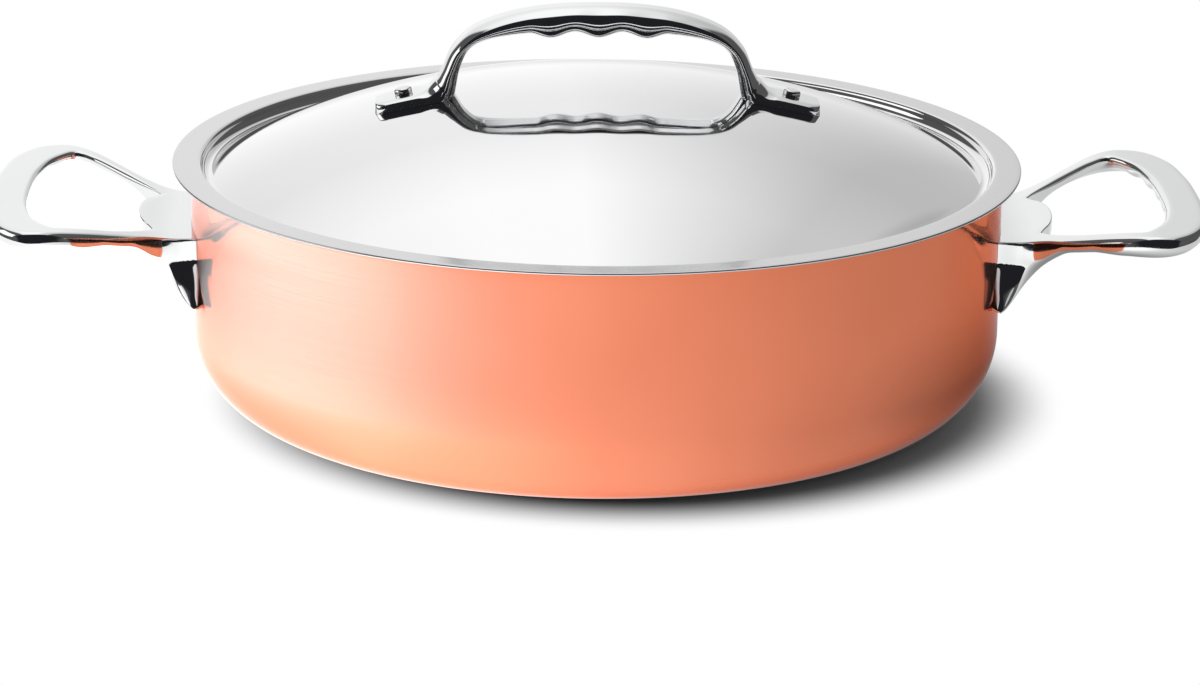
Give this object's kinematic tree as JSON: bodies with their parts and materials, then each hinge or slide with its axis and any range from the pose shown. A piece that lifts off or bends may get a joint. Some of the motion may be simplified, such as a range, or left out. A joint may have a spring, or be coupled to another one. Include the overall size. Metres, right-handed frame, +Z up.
{
  "type": "lidded stew pot",
  "caption": "Low round copper stew pot with a steel lining, looped side handles on the wall and a domed lift-off lid with a bow handle.",
  "frame": {"origin": "centre of the flat face that the pot stands on", "axes": "+Z up, +X towards one side handle, -Y towards the cook"},
  "size_m": [0.425, 0.2968, 0.1427],
  "materials": {
    "copper": "satin-polished copper",
    "lining_steel": "fine circular brushing",
    "plate_steel": "turned face",
    "cast_steel": "mirror-polished cast stainless steel",
    "lid_steel": "polished stainless steel sheet",
    "rivet_steel": "polished"
  },
  "bodies": {
    "pot": {"copper_shell": "copper", "steel_lining": "lining_steel", "induction_plate": "plate_steel", "left_handle": "cast_steel", "right_handle": "cast_steel", "left_front_rivet": "rivet_steel", "left_rear_rivet": "rivet_steel", "right_front_rivet": "rivet_steel", "right_rear_rivet": "rivet_steel"},
    "lid": {"lid": "lid_steel", "lid_handle": "cast_steel", "left_lid_rivet": "rivet_steel", "right_lid_rivet": "rivet_steel"}
  },
  "joints": [
    {"name": "lid_lift", "type": "slide", "parent": "pot", "child": "lid", "axis": [0, 0, 1], "range_m": [0, 0.15]}
  ]
}
